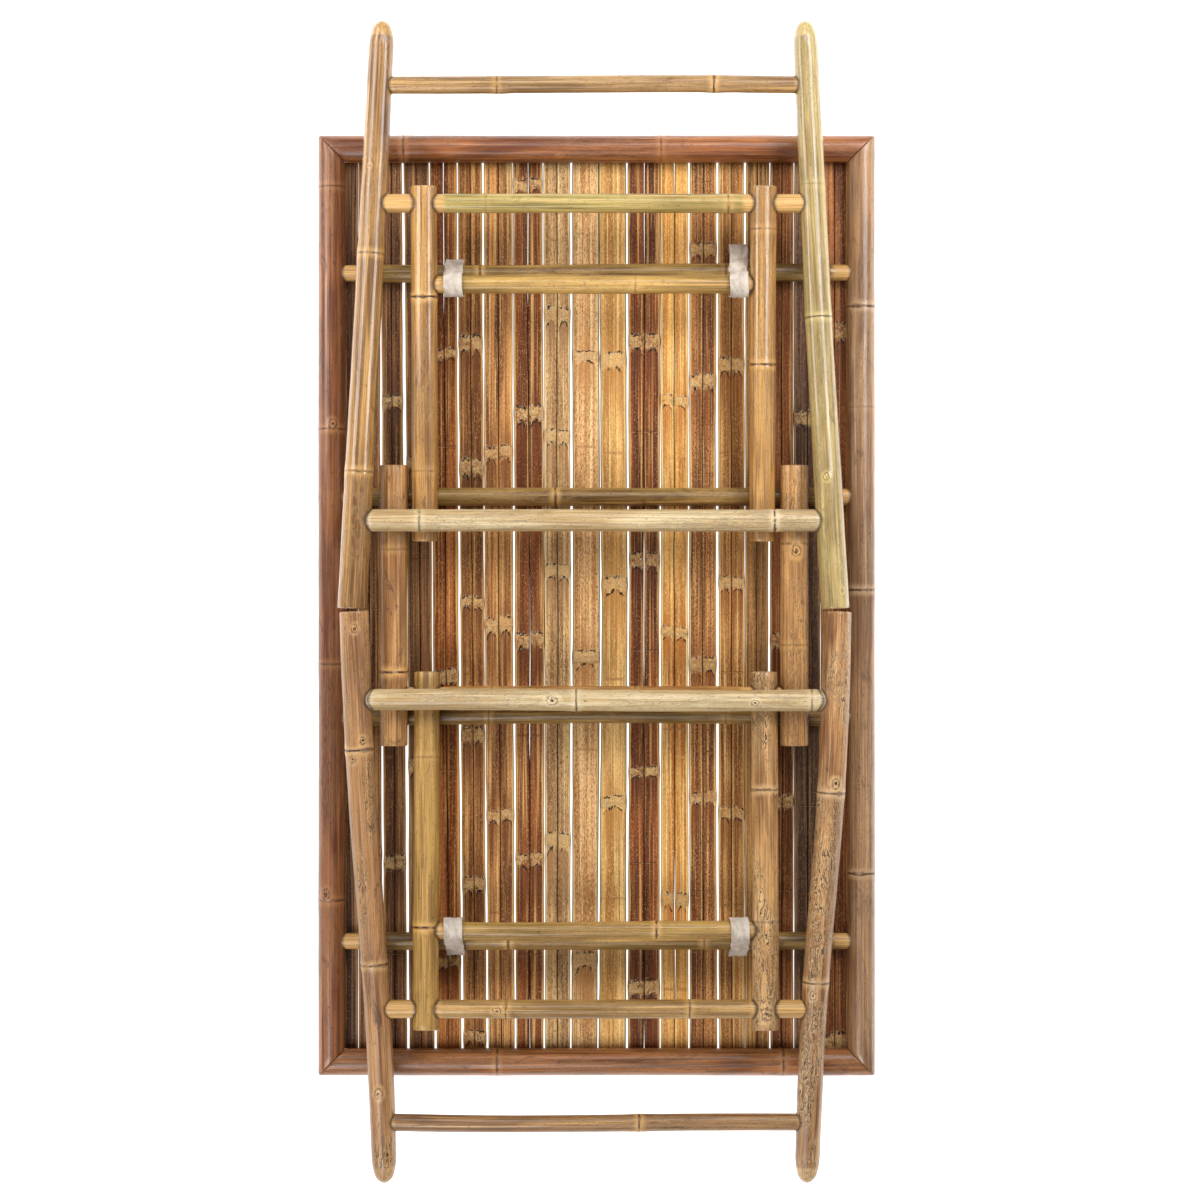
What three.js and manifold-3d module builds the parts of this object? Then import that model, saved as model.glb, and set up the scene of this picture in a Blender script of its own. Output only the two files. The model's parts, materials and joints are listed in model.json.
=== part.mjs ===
// A folding bamboo table, folded flat and lying on the face of its top, legs upward.
// Millimetres, +Z up. The origin is on the ground, under the middle of the folded table.
// X runs across the table, Y along it. The "rear" frames are on the +Y half, the "front" ones on -Y.
//
// Table top: a mitred rim of four poles, split-bamboo slats, four battens across the slats, two short
// bearers lying on the inner battens, and two hinge bars held by the bearers.
// Each half has a brace (two poles and a bar) that turns on its hinge bar, and a leg frame (two legs and
// three rails) whose pivot rail turns in the outer ends of the brace poles.

import * as THREE from "three";
import { mergeVertices } from "three/addons/utils/BufferGeometryUtils.js";
import Module from "manifold-3d";

// ---- Driving dimensions ----
const TOP_LENGTH = 1200; // over the rim, along Y
const TOP_WIDTH = 711; // over the rim, along X
const RIM_R = 17.25;
const GAP = 0.3; // between solids that touch on the real table
const HOLE_PLAY = 0.4; // radial room round a tenon or a journal
const TENON_DEPTH = 5; // how far a tenon goes past the axis of the pole that holds it
const CUTTER_OVER = 6; // how far a hole's cutter reaches outside the pole

const SLAT_THICK = 5.35;
const SLAT_SPACE = 3.6; // open gap between two slats
const SLAT_EDGE = 1.2; // bevel along each slat
// Room that each slat takes across the table, from -X to +X: the slats are split by hand.
const SLAT_PITCHES = [18, 32, 33, 36, 34.5, 32, 37, 37, 33, 34.5, 36, 42, 37, 36, 34.5, 32, 30.5, 34.5, 35];

const BATTEN_R = 11.6;
const BATTEN_TENON_R = 9.2;
const BATTEN_WHITTLED = 32; // length of each whittled end
const BEARER_R = 17.2;
const BEARER_HALF = 253.7; // half the distance between the bearers' axes
const BEARER_LENGTH = 355;
const HINGE_R = 12.6;
const HINGE_JOURNAL_R = 10.6;
const HINGE_SKIN_HALF = 186; // the bar is whittled down to its journals beyond this

const BRACE_R = 16.3;
const BRACE_HALF = 213.5; // half the distance between the brace poles' axes
const BAR_R = 11.3;
const BAR_TENON_R = 9.4;
const BAR_WHITTLED = 16; // from the brace pole to the full size of the bar

const LEG_TIP_R = 15.7;
const LEG_TIP_ROUNDED = 16; // length of the rounded tip
const LEG_FOOT_R = 18.4;
const LEG_TIP_HALF = 264; // half the distance between the legs' axes at the rounded tips
const LEG_FOOT_HALF = 303.4; // and at the feet
const PIVOT_R = 11.9;
const PIVOT_JOURNAL_R = 11.2;
const PIVOT_SKIN_HALF = 184; // the rail is whittled down to its journals beyond this
const FOOT_RAIL_R = 13.8;
const FOOT_RAIL_TENON_R = 11.4;
const FOOT_RAIL_WHITTLED = 10;
const TOP_RAIL_R = 11.1;
const TOP_RAIL_TENON_R = 9.2;
const TOP_RAIL_WHITTLED = 20;

const STRAP_WIDTH = 24;
const STRAP_THICK = 1.6;
const STRAP_X = 180;
const STRAP_SLACK = 3.2; // room between the strap and the poles it wraps

// The two halves were made by hand and differ a little. Distances are along Y from the table's middle,
// measured outward; centreX is the sideways place of each half's frames.
const REAR = {
  name: "rear", turn: 0, centreX: -3.5, hinge: 108.5, pivot: 505, topRail: 653.5, tip: 734.5,
  foot: -3, footRail: 107, bar: 404, inner: 81.7, outer: 526.6, innerBatten: 138.6, outerBatten: 424.6,
};
const FRONT = {
  name: "front", turn: Math.PI, centreX: -1, hinge: 114.5, pivot: 506.5, topRail: 648.5, tip: 724.5,
  foot: 8, footRail: 118.5, bar: 408.3, inner: 84.2, outer: 532.7, innerBatten: 143.7, outerBatten: 428.4,
};
const HALVES = [REAR, FRONT];
const BEARER_CENTRE_X = -3;

// Heights, from the plane of the rim's axis.
const SLAT_TOP = -(BATTEN_R + GAP);
const BEARER_Z = BATTEN_R + GAP + BEARER_R;
const LEG_Z = BEARER_Z + BEARER_R + GAP + FOOT_RAIL_R;

const ROUND = 16; // sides of every pole, tenon and hole
const NODE_SWELL = 0.8; // how far a node stands out from its pole
const NODE_REACH = 6; // how far the swelling runs, either way along the pole
const END_BEVEL = 1.5;
const SHOULDER_SLOPE = 7; // length of the cone between a rail and its tenon

// ---- Colours ----
const bamboo = (color, roughness = 0.42) =>
  new THREE.MeshStandardMaterial({ color, roughness, metalness: 0 });
const RIM_COLOUR = bamboo(0x8a5530);
const BATTEN_COLOUR = bamboo(0x8b7140);
const BEARER_COLOUR = bamboo(0xa37a45);
const BRACE_COLOUR = bamboo(0xb98a4c);
const LEG_COLOUR = bamboo(0xb98848, 0.35);
const RAIL_COLOUR = bamboo(0xab8a4c, 0.38);
const FOOT_RAIL_COLOUR = bamboo(0xd0ab72, 0.38);
const SLAT_COLOURS = [0x7a4a28, 0xa87444, 0x6b3a24, 0xc39a60].map((c) => bamboo(c, 0.55));
const STRAP_COLOUR = new THREE.MeshStandardMaterial({ color: 0xc9bba8, roughness: 0.85, metalness: 0 });

// ---- Solids ----
const wasm = await Module();
wasm.setup();

function toSolid(geometry) {
  const bare = geometry.clone();
  bare.deleteAttribute("normal");
  bare.deleteAttribute("uv");
  const merged = mergeVertices(bare, 1e-4);
  return new wasm.Manifold(new wasm.Mesh({
    numProp: 3,
    vertProperties: merged.attributes.position.array,
    triVerts: new Uint32Array(merged.index.array),
  }));
}

function fromSolid(solid) {
  const mesh = solid.getMesh();
  const geometry = new THREE.BufferGeometry();
  geometry.setAttribute("position", new THREE.BufferAttribute(mesh.vertProperties, 3));
  geometry.setIndex(new THREE.BufferAttribute(mesh.triVerts, 1));
  geometry.computeVertexNormals();
  return geometry;
}

// geometry with every cutter taken away.
function cut(geometry, cutters) {
  return fromSolid(cutters.reduce((solid, cutter) => solid.subtract(toSolid(cutter)), toSolid(geometry)));
}

// A round solid about +Y, from y = 0 up, through [radius, y] points that start and end on the axis.
function turned(points) {
  return new THREE.LatheGeometry(points.map(([r, y]) => new THREE.Vector2(r, y)), ROUND);
}

// A bamboo pole along +Y with swollen nodes at the given shares of its length.
function pole(length, startR, endR, nodes = [], rounded = 0) {
  const radius = (y) => startR + (endR - startR) * (y / length);
  const points = [[0, 0], [startR - END_BEVEL, 0], [startR, END_BEVEL]];
  for (const share of nodes) {
    const y = share * length;
    points.push([radius(y), y - NODE_REACH], [radius(y) + NODE_SWELL, y], [radius(y), y + NODE_REACH]);
  }
  if (rounded > 0) {
    for (const angle of [0, 30, 60]) {
      const a = THREE.MathUtils.degToRad(angle);
      points.push([endR * (0.35 + 0.65 * Math.cos(a)), length - rounded * (1 - Math.sin(a))]);
    }
    points.push([endR * 0.35, length]);
  } else {
    points.push([endR, length - END_BEVEL], [endR - END_BEVEL, length]);
  }
  points.push([0, length]);
  return turned(points);
}

// A rail along X, centred on x = 0: full size between its shoulders, whittled to a tenon at both ends.
function rail(half, radius, shoulder, tenonR) {
  return turned([
    [0, 0], [tenonR, 0], [tenonR, half - shoulder - SHOULDER_SLOPE], [radius, half - shoulder],
    [radius, half + shoulder], [tenonR, half + shoulder + SHOULDER_SLOPE], [tenonR, 2 * half], [0, 2 * half],
  ]).translate(0, -half, 0).rotateZ(-Math.PI / 2);
}

// A cutter for a round hole along X between two places, about the line y, z.
function holeAlongX(radius, from, to, y, z) {
  const low = Math.min(from, to);
  const long = Math.abs(to - from);
  return turned([[0, 0], [radius, 0], [radius, long], [0, long]])
    .rotateZ(-Math.PI / 2).translate(low, y, z);
}

function addMesh(group, name, geometry, material, place = [0, 0, 0]) {
  const mesh = new THREE.Mesh(geometry, material);
  mesh.name = name;
  mesh.position.set(...place);
  group.add(mesh);
  return mesh;
}

// "left" is the -X side of the whole table; a half that is turned round has it on its own +X.
const sideName = (half, sign) => (sign * Math.cos(half.turn) < 0 ? "left" : "right");
// A half's own frame is turned, so its sideways shift changes sign with it.
const shiftX = (half) => half.centreX * Math.cos(half.turn);

// ---- Table top ----
const rimHalfX = TOP_WIDTH / 2 - RIM_R;
const rimHalfY = TOP_LENGTH / 2 - RIM_R;

// A rim pole along +Y, centred, with 45 degree mitres: it is longest on its outer side, at +X.
function rimPole(halfLength) {
  const geometry = turned([[0, 0], [RIM_R, 0], [RIM_R, 2 * halfLength], [0, 2 * halfLength]])
    .translate(0, -halfLength, 0);
  const position = geometry.attributes.position;
  for (let i = 0; i < position.count; i++) {
    position.setY(i, Math.sign(position.getY(i)) * (halfLength - GAP / 2 + position.getX(i)));
  }
  return geometry;
}

const battens = [
  ["batten_rear_outer", REAR.outerBatten], ["batten_rear_inner", REAR.innerBatten],
  ["batten_front_inner", -FRONT.innerBatten], ["batten_front_outer", -FRONT.outerBatten],
];
const battenHalf = rimHalfX + TENON_DEPTH;

function addRim(group) {
  const sides = [
    { name: "rim_right", half: rimHalfY, turn: 0 },
    { name: "rim_rear", half: rimHalfX, turn: Math.PI / 2 },
    { name: "rim_left", half: rimHalfY, turn: Math.PI },
    { name: "rim_front", half: rimHalfX, turn: -Math.PI / 2 },
  ];
  for (const side of sides) {
    const alongY = Math.abs(Math.cos(side.turn)) > 0.5;
    let geometry = rimPole(side.half);
    if (alongY) {
      const sign = Math.cos(side.turn);
      geometry = cut(geometry, battens.map(([, y]) =>
        holeAlongX(BATTEN_TENON_R + HOLE_PLAY, TENON_DEPTH + GAP, -RIM_R - CUTTER_OVER, y * sign, 0)));
    }
    const out = alongY ? rimHalfX : rimHalfY;
    const mesh = addMesh(group, side.name, geometry, RIM_COLOUR,
      [out * Math.cos(side.turn), out * Math.sin(side.turn), 0]);
    mesh.rotation.z = side.turn;
  }
}

function addSlats(group) {
  const room = SLAT_PITCHES.reduce((a, b) => a + b, 0);
  const long = 2 * (rimHalfY - Math.sqrt(RIM_R ** 2 - SLAT_TOP ** 2) - 2 * GAP);
  let x = -room / 2;
  SLAT_PITCHES.forEach((pitch, i) => {
    const w = (pitch - SLAT_SPACE) / 2;
    const section = new THREE.Shape([
      [-w, 0], [w, 0], [w, SLAT_THICK - SLAT_EDGE], [w - SLAT_EDGE, SLAT_THICK],
      [SLAT_EDGE - w, SLAT_THICK], [-w, SLAT_THICK - SLAT_EDGE],
    ].map(([a, b]) => new THREE.Vector2(a, b)));
    const geometry = new THREE.ExtrudeGeometry(section, { depth: long, bevelEnabled: false })
      .rotateX(Math.PI / 2).translate(0, long / 2, 0);
    const name = `slat_${String(i + 1).padStart(2, "0")}`;
    addMesh(group, name, geometry, SLAT_COLOURS[i % SLAT_COLOURS.length],
      [x + pitch / 2, 0, -RIM_R]);
    x += pitch;
  });
}

const strapNotch = STRAP_THICK + 2 * GAP;

function addBattens(group) {
  for (const [name, y] of battens) {
    let geometry = rail(battenHalf, BATTEN_R, rimHalfX - RIM_R - BATTEN_WHITTLED, BATTEN_TENON_R);
    if (name.endsWith("outer")) {
      // A flat on the slat side lets each strap pass under the batten.
      geometry = cut(geometry, [-STRAP_X, STRAP_X].map((x) =>
        new THREE.BoxGeometry(STRAP_WIDTH + 4, 2 * BATTEN_R + 4, 10)
          .translate(x, 0, -BATTEN_R + strapNotch - 5)));
    }
    addMesh(group, name, geometry, BATTEN_COLOUR, [0, y, 0]);
  }
}

const hingeBars = [["hinge_bar_rear", REAR.hinge], ["hinge_bar_front", -FRONT.hinge]];

function addBearers(group) {
  for (const sign of [-1, 1]) {
    const geometry = pole(BEARER_LENGTH, BEARER_R, BEARER_R, sign < 0 ? [0.34, 0.65] : [0.3, 0.6])
      .translate(0, -BEARER_LENGTH / 2, 0);
    const sockets = hingeBars.map(([, y]) =>
      holeAlongX(HINGE_JOURNAL_R + HOLE_PLAY, sign * (TENON_DEPTH + GAP), -sign * (BEARER_R + CUTTER_OVER), y, 0));
    addMesh(group, sign < 0 ? "bearer_left" : "bearer_right", cut(geometry, sockets), BEARER_COLOUR,
      [BEARER_CENTRE_X + sign * BEARER_HALF, 0, BEARER_Z]);
  }
  for (const [name, y] of hingeBars) {
    addMesh(group, name, rail(BEARER_HALF + TENON_DEPTH, HINGE_R, HINGE_SKIN_HALF, HINGE_JOURNAL_R),
      BEARER_COLOUR, [BEARER_CENTRE_X, y, BEARER_Z]);
  }
}

// The outline of a band round two circles in the Y-Z plane, flattened underneath at lowest.
function bandOutline(a, b, spread, lowest) {
  const along = Math.atan2(b.z - a.z, b.y - a.y);
  const apart = Math.hypot(b.z - a.z, b.y - a.y);
  const lean = Math.acos((a.r - b.r) / apart);
  const points = [];
  const arc = (circle, from, to) => {
    const steps = 8;
    for (let i = 0; i <= steps; i++) {
      const angle = from + (to - from) * (i / steps);
      const y = circle.y + (circle.r + spread) * Math.cos(angle);
      const z = circle.z + (circle.r + spread) * Math.sin(angle);
      points.push(new THREE.Vector2(y, Math.max(z, lowest - spread)));
    }
  };
  arc(b, along - lean, along + lean);
  arc(a, along + lean, along + 2 * Math.PI - lean);
  return points;
}

function addStraps(group, half) {
  const tilt = braceTilt(half);
  const batten = { y: half.outerBatten, z: 0, r: BATTEN_R + STRAP_SLACK };
  const bar = { y: half.bar, z: BEARER_Z + (half.bar - half.hinge) * Math.tan(tilt), r: BAR_R + STRAP_SLACK };
  const lowest = -BATTEN_R + strapNotch - GAP;
  const section = new THREE.Shape(bandOutline(batten, bar, STRAP_THICK, lowest));
  section.holes.push(new THREE.Path(bandOutline(batten, bar, 0, lowest)));
  for (const sign of [-1, 1]) {
    const geometry = new THREE.ExtrudeGeometry(section, { depth: STRAP_WIDTH, bevelEnabled: false })
      .translate(0, 0, -STRAP_WIDTH / 2)
      .applyMatrix4(new THREE.Matrix4().makeBasis(
        new THREE.Vector3(0, 1, 0), new THREE.Vector3(0, 0, 1), new THREE.Vector3(1, 0, 0)));
    addMesh(group, `strap_${half.name}_${sideName(half, sign)}`, geometry, STRAP_COLOUR,
      [sign * STRAP_X, 0, 0]);
  }
}

// ---- Braces ----
function braceTilt(half) {
  return Math.atan2(LEG_Z - BEARER_Z, half.pivot - half.hinge);
}

// In the brace's own frame the hinge bar's axis is at y = 0 and the poles run along +Y.
function addBrace(group, half) {
  const tilt = braceTilt(half);
  const slant = 1 / Math.cos(tilt);
  const start = (half.inner - half.hinge) * slant;
  const length = (half.outer - half.inner) * slant;
  const pivot = (half.pivot - half.hinge) * slant;
  const bar = (half.bar - half.hinge) * slant;
  for (const sign of [-1, 1]) {
    const through = BRACE_R + CUTTER_OVER;
    const holes = [
      holeAlongX(HINGE_JOURNAL_R + HOLE_PLAY, -through, through, 0, 0),
      holeAlongX(PIVOT_JOURNAL_R + HOLE_PLAY, -through, through, pivot, 0),
      holeAlongX(BAR_TENON_R + HOLE_PLAY, -sign * through, sign * (TENON_DEPTH + GAP), bar, 0),
    ];
    const geometry = pole(length, BRACE_R, BRACE_R - 0.4, [0.25, 0.6]).translate(0, start, 0);
    addMesh(group, `brace_pole_${half.name}_${sideName(half, sign)}`, cut(geometry, holes),
      BRACE_COLOUR, [sign * BRACE_HALF, 0, 0]);
  }
  addMesh(group, `brace_bar_${half.name}`,
    rail(BRACE_HALF + TENON_DEPTH, BAR_R, BRACE_HALF - BRACE_R - BAR_WHITTLED, BAR_TENON_R),
    RAIL_COLOUR, [0, bar, 0]);
}

// ---- Leg frames ----
// In the leg frame's own frame the pivot rail's axis is at y = 0 and the rounded tips point along +Y.
function addLegs(group, half) {
  const length = half.tip - half.foot;
  const lean = Math.atan2(LEG_FOOT_HALF - LEG_TIP_HALF, length);
  const halfAt = (y) => LEG_TIP_HALF + (half.tip - half.pivot - y) * Math.tan(lean);
  const rails = [
    {
      name: "top_rail", y: half.topRail - half.pivot, r: TOP_RAIL_R, tenon: TOP_RAIL_TENON_R,
      whittled: TOP_RAIL_WHITTLED,
    },
    { name: "pivot_rail", y: 0, r: PIVOT_R, tenon: PIVOT_JOURNAL_R, skin: PIVOT_SKIN_HALF },
    {
      name: "foot_rail", y: half.footRail - half.pivot, r: FOOT_RAIL_R, tenon: FOOT_RAIL_TENON_R,
      whittled: FOOT_RAIL_WHITTLED,
    },
  ];
  for (const sign of [-1, 1]) {
    const leg = pole(length / Math.cos(lean), LEG_FOOT_R, LEG_TIP_R, [0.2, 0.5, 0.8], LEG_TIP_ROUNDED)
      .rotateZ(sign * lean)
      .translate(sign * LEG_FOOT_HALF, half.foot - half.pivot, 0);
    const sockets = rails.map((r) => holeAlongX(r.tenon + HOLE_PLAY,
      sign * (halfAt(r.y) - LEG_FOOT_R - CUTTER_OVER), sign * (halfAt(r.y) + TENON_DEPTH + GAP), r.y, 0));
    addMesh(group, `leg_${half.name}_${sideName(half, sign)}`, cut(leg, sockets), LEG_COLOUR);
  }
  for (const r of rails) {
    const shoulder = r.skin ?? halfAt(r.y) - LEG_FOOT_R - r.whittled;
    addMesh(group, `${r.name}_${half.name}`, rail(halfAt(r.y) + TENON_DEPTH, r.r, shoulder, r.tenon),
      r.name === "foot_rail" ? FOOT_RAIL_COLOUR : RAIL_COLOUR, [0, r.y, 0]);
  }
}

// ---- The whole table, folded ----
const table = new THREE.Group();
table.position.set(0, (FRONT.tip - REAR.tip) / 2, RIM_R);

const top = new THREE.Group();
addRim(top);
addSlats(top);
addBattens(top);
addBearers(top);
table.add(top);

for (const half of HALVES) {
  const side = new THREE.Group();
  side.rotation.z = half.turn;
  addStraps(side, half);

  const brace = new THREE.Group();
  brace.position.set(shiftX(half), half.hinge, BEARER_Z);
  brace.rotation.x = braceTilt(half);
  addBrace(brace, half);

  const legs = new THREE.Group();
  legs.position.set(shiftX(half), half.pivot, LEG_Z);
  addLegs(legs, half);

  side.add(brace, legs);
  table.add(side);
}

const part = new THREE.Group();
part.add(table);

export default part;
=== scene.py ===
import json
import math

import bpy
import numpy as np
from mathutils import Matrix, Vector
from mathutils.geometry import intersect_line_line


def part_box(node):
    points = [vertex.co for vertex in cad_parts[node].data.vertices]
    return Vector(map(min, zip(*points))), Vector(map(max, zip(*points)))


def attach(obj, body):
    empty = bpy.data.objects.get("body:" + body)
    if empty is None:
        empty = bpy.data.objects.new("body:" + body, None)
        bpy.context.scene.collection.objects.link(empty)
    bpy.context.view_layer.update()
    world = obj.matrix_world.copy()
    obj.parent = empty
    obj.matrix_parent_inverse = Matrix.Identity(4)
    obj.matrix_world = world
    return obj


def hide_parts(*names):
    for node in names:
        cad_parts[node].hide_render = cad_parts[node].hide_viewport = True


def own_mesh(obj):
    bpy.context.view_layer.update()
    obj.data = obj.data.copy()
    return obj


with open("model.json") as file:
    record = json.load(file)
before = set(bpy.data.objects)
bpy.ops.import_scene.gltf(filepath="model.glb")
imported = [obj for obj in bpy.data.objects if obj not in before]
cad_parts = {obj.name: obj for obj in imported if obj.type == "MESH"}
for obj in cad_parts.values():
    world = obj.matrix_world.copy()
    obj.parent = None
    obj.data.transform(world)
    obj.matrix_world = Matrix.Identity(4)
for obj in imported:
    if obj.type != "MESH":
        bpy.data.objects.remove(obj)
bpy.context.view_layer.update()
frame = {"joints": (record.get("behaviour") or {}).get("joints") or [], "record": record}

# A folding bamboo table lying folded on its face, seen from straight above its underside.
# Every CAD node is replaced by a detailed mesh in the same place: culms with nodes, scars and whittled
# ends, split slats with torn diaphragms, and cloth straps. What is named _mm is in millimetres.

MM = 0.001
RNG_SEED = 41


# ---------------------------------------------------------------- shader graphs
class Graph:
    """A short way to write a material's nodes."""

    def __init__(self, name):
        self.material = bpy.data.materials.new(name)
        self.material.use_nodes = True
        self.tree = self.material.node_tree
        self.tree.nodes.clear()
        self.bsdf = self.tree.nodes.new("ShaderNodeBsdfPrincipled")
        out = self.tree.nodes.new("ShaderNodeOutputMaterial")
        self.tree.links.new(self.bsdf.outputs[0], out.inputs["Surface"])

    def put(self, socket, value):
        if isinstance(value, bpy.types.NodeSocket):
            self.tree.links.new(value, socket)
        elif isinstance(value, tuple) and len(value) == 3 and len(socket.default_value) == 4:
            socket.default_value = (*value, 1.0)
        else:
            socket.default_value = value

    def math(self, operation, a, b=0.0):
        node = self.tree.nodes.new("ShaderNodeMath")
        node.operation = operation
        self.put(node.inputs[0], a)
        self.put(node.inputs[1], b)
        return node.outputs[0]

    def span(self, value, low, high, to_low=0.0, to_high=1.0):
        """value eased from to_low at low to to_high at high."""
        node = self.tree.nodes.new("ShaderNodeMapRange")
        node.interpolation_type = "SMOOTHSTEP"
        self.put(node.inputs["Value"], value)
        for key, number in (("From Min", low), ("From Max", high), ("To Min", to_low), ("To Max", to_high)):
            node.inputs[key].default_value = number
        return node.outputs[0]

    def mix(self, factor, a, b):
        node = self.tree.nodes.new("ShaderNodeMix")
        node.data_type = "RGBA"
        self.put(node.inputs["Factor"], factor)
        self.put(node.inputs["A"], a)
        self.put(node.inputs["B"], b)
        return node.outputs["Result"]

    def attribute(self, name, vector=False):
        node = self.tree.nodes.new("ShaderNodeAttribute")
        node.attribute_name = name
        return node.outputs["Vector" if vector else "Fac"]

    def scaled(self, vector, scale):
        node = self.tree.nodes.new("ShaderNodeVectorMath")
        node.operation = "MULTIPLY"
        self.put(node.inputs[0], vector)
        node.inputs[1].default_value = scale
        return node.outputs[0]

    def noise(self, vector, scale, detail=2.0, rough=0.5, warp=0.0):
        """Noise of the given frequencies, per metre across, across and along the grain."""
        node = self.tree.nodes.new("ShaderNodeTexNoise")
        self.put(node.inputs["Vector"], self.scaled(vector, scale))
        node.inputs["Scale"].default_value = 1.0
        node.inputs["Detail"].default_value = detail
        node.inputs["Roughness"].default_value = rough
        node.inputs["Distortion"].default_value = warp
        return node.outputs["Fac"]

    def bump(self, height, distance, strength):
        node = self.tree.nodes.new("ShaderNodeBump")
        node.inputs["Strength"].default_value = strength
        node.inputs["Distance"].default_value = distance
        self.put(node.inputs["Height"], height)
        return node.outputs[0]

    def finish(self, color, roughness, normal, coat=0.0, coat_roughness=0.1, specular=0.5):
        self.put(self.bsdf.inputs["Base Color"], color)
        self.put(self.bsdf.inputs["Roughness"], roughness)
        self.put(self.bsdf.inputs["Normal"], normal)
        self.bsdf.inputs["Coat Weight"].default_value = coat
        self.bsdf.inputs["Coat Roughness"].default_value = coat_roughness
        self.bsdf.inputs["Specular IOR Level"].default_value = specular
        return self.material


def srgb(code):
    """A colour written as in a paint chart, in the linear values that the shader takes."""
    channels = [int(code[i:i + 2], 16) / 255 for i in (0, 2, 4)]
    return tuple(c / 12.92 if c <= 0.04045 else ((c + 0.055) / 1.055) ** 2.4 for c in channels)


def culm_material(name, light, dark, stain="6b411d", bare="dcab66", scar="38200f", stains=0.5, streaks=0.65,
                  gloss=0.28, coat=0.8, coat_roughness=0.08, bark=0.35):
    """Lacquered bamboo skin: drifting tone, fibre streaks, dirty scars at the nodes, bare whittled wood."""
    g = Graph(name)
    grain = g.attribute("grain", vector=True)
    node_mm = g.attribute("node_mm")
    mark = g.attribute("mark")
    broad = g.span(g.noise(grain, (38, 38, 5.5), 3, 0.6, 0.6), 0.36, 0.64)
    color = g.mix(broad, srgb(dark), srgb(light))
    strand = g.noise(grain, (170, 170, 3.2), 3, 0.6, 0.2)
    color = g.mix(g.span(strand, 0.53, 0.66, 0.0, streaks), color, srgb(stain))
    color = g.mix(g.span(strand, 0.45, 0.33, 0.0, 0.55), color, srgb(bare))
    fibre = g.noise(grain, (640, 640, 8), 3, 0.65)
    color = g.mix(g.span(fibre, 0.47, 0.68, 0.0, 0.7), color, srgb(stain))
    color = g.mix(g.span(fibre, 0.44, 0.32, 0.0, 0.4), color, srgb(bare))
    blotch = g.noise(grain, (60, 60, 20), 4, 0.7, 1.3)
    color = g.mix(g.span(blotch, 0.56, 0.70, 0.0, stains), color, srgb(stain))
    speck = g.noise(grain, (820, 820, 240), 1, 0.4)
    color = g.mix(g.span(speck, 0.68, 0.76, 0.0, 0.85), color, srgb(scar))
    # Old skin is crazed with fine wavy cracks, each with a pale lip.
    vein = g.math("ABSOLUTE", g.math("SUBTRACT", g.noise(grain, (150, 150, 26), 4, 0.62, 1.7), 0.5))
    zone = g.math("MULTIPLY", g.span(g.noise(grain, (22, 22, 7), 2), 0.44, 0.56), bark)
    crack = g.math("MULTIPLY", g.span(vein, 0.012, 0.034, 1.0, 0.0), zone)
    color = g.mix(g.math("MULTIPLY", g.span(vein, 0.085, 0.040, 0.0, 0.7), zone), color, srgb(bare))
    color = g.mix(crack, color, srgb(scar))
    # At a node: a pale waxy ring, a soft brown stain and a broken dark line, as strong as the mark says.
    ragged = g.math("ADD", g.math("ABSOLUTE", node_mm), g.math("MULTIPLY", blotch, 9.0))
    color = g.mix(g.math("MULTIPLY", g.span(ragged, 5.0, 15.0, 0.75, 0.0), mark), color, srgb(bare))
    color = g.mix(g.math("MULTIPLY", g.span(ragged, 4.5, 8.0, 0.8, 0.0), mark), color, srgb(stain))
    broken = g.span(g.noise(grain, (120, 120, 30), 2, 0.5), 0.40, 0.50)
    stray = g.math("MULTIPLY", g.math("SUBTRACT", blotch, 0.5), 5.0)
    wobble = g.math("ABSOLUTE", g.math("ADD", node_mm, stray))
    line = g.span(wobble, 0.5, 1.5, 1.0, 0.0)
    color = g.mix(g.math("MULTIPLY", g.math("MULTIPLY", line, broken), mark), color, srgb(scar))
    # A knot is an eye: dark heart, pale ring, dark outline. Its attribute counts in knot radii.
    torn = g.math("SUBTRACT", g.noise(grain, (240, 240, 170), 3, 0.7, 0.8), 0.5)
    knot = g.math("ADD", g.attribute("knot"), g.math("MULTIPLY", torn, 1.7))
    color = g.mix(g.span(knot, 0.90, 1.9, 0.55, 0.0), color, srgb(bare))
    color = g.mix(g.span(knot, 0.80, 1.05, 0.85, 0.0), color, srgb(stain))
    color = g.mix(g.span(knot, 0.55, 0.75, 0.9, 0.0), color, srgb(bare))
    color = g.mix(g.span(knot, 0.30, 0.45, 0.9, 0.0), color, srgb(stain))
    color = g.mix(g.span(knot, 0.10, 0.25, 1.0, 0.0), color, srgb(scar))
    bare_mask = g.attribute("bare")
    bare_tone = g.mix(g.span(fibre, 0.38, 0.68, 0.10, 0.65), srgb(bare), srgb(stain))
    color = g.mix(bare_mask, color, bare_tone)
    pores = g.noise(grain, (1500, 1500, 30), 2, 0.5)
    end_tone = g.mix(g.span(pores, 0.45, 0.7), srgb("b98a52"), srgb("5b3a1d"))
    color = g.mix(g.attribute("cut"), color, end_tone)
    # Grime and shade where another pole goes in.
    color = g.mix(g.math("MULTIPLY", g.attribute("joint_grime_and_shade"), 0.85), color, srgb("241408"))
    rough = g.math("ADD", g.span(blotch, 0.4, 0.75, gloss, gloss + 0.22), g.math("MULTIPLY", bare_mask, 0.12))
    height = g.math("ADD", g.math("MULTIPLY", fibre, 0.6), g.math("MULTIPLY", speck, -0.35))
    height = g.math("ADD", height, g.math("MULTIPLY", crack, -0.8))
    return g.finish(color, rough, g.bump(height, 0.0005, 0.8), coat=coat, coat_roughness=coat_roughness)


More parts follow.
